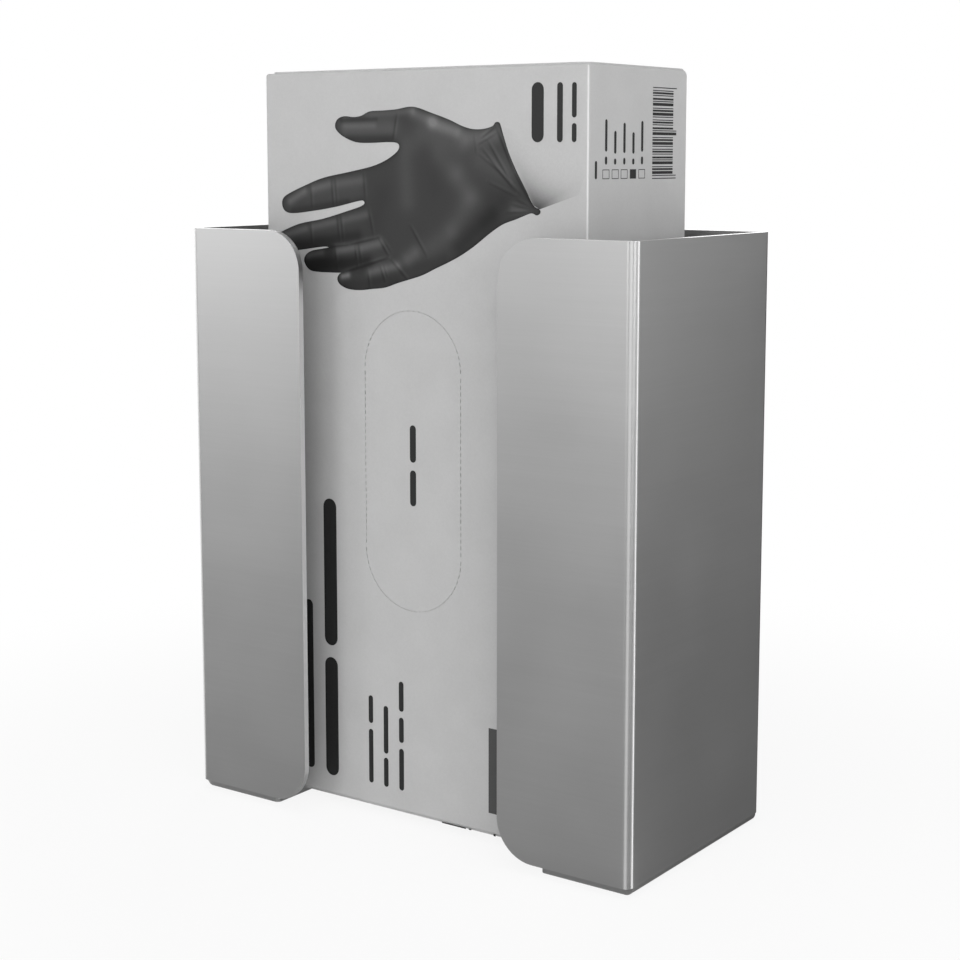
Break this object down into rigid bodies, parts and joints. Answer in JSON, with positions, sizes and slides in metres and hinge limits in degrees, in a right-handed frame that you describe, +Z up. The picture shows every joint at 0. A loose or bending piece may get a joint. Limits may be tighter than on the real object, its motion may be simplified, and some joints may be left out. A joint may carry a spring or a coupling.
{
  "type": "disposable glove dispenser",
  "caption": "Wall holder folded from one aluminium sheet, with an open front between two flanges and a pocket in which a sealed carton of disposable gloves stands.",
  "frame": {"origin": "middle of the holder's footprint, on the underside of its tabs", "axes": "+Z up, -Y out of the open front towards the user, +Y into the wall, +X to the user's right"},
  "size_m": [0.17, 0.0822, 0.2409],
  "materials": {
    "holder_aluminium": "satin",
    "carton_board": "matte"
  },
  "bodies": {
    "root": {"sheet_holder": "holder_aluminium", "glove_carton": "carton_board"}
  },
  "joints": []
}
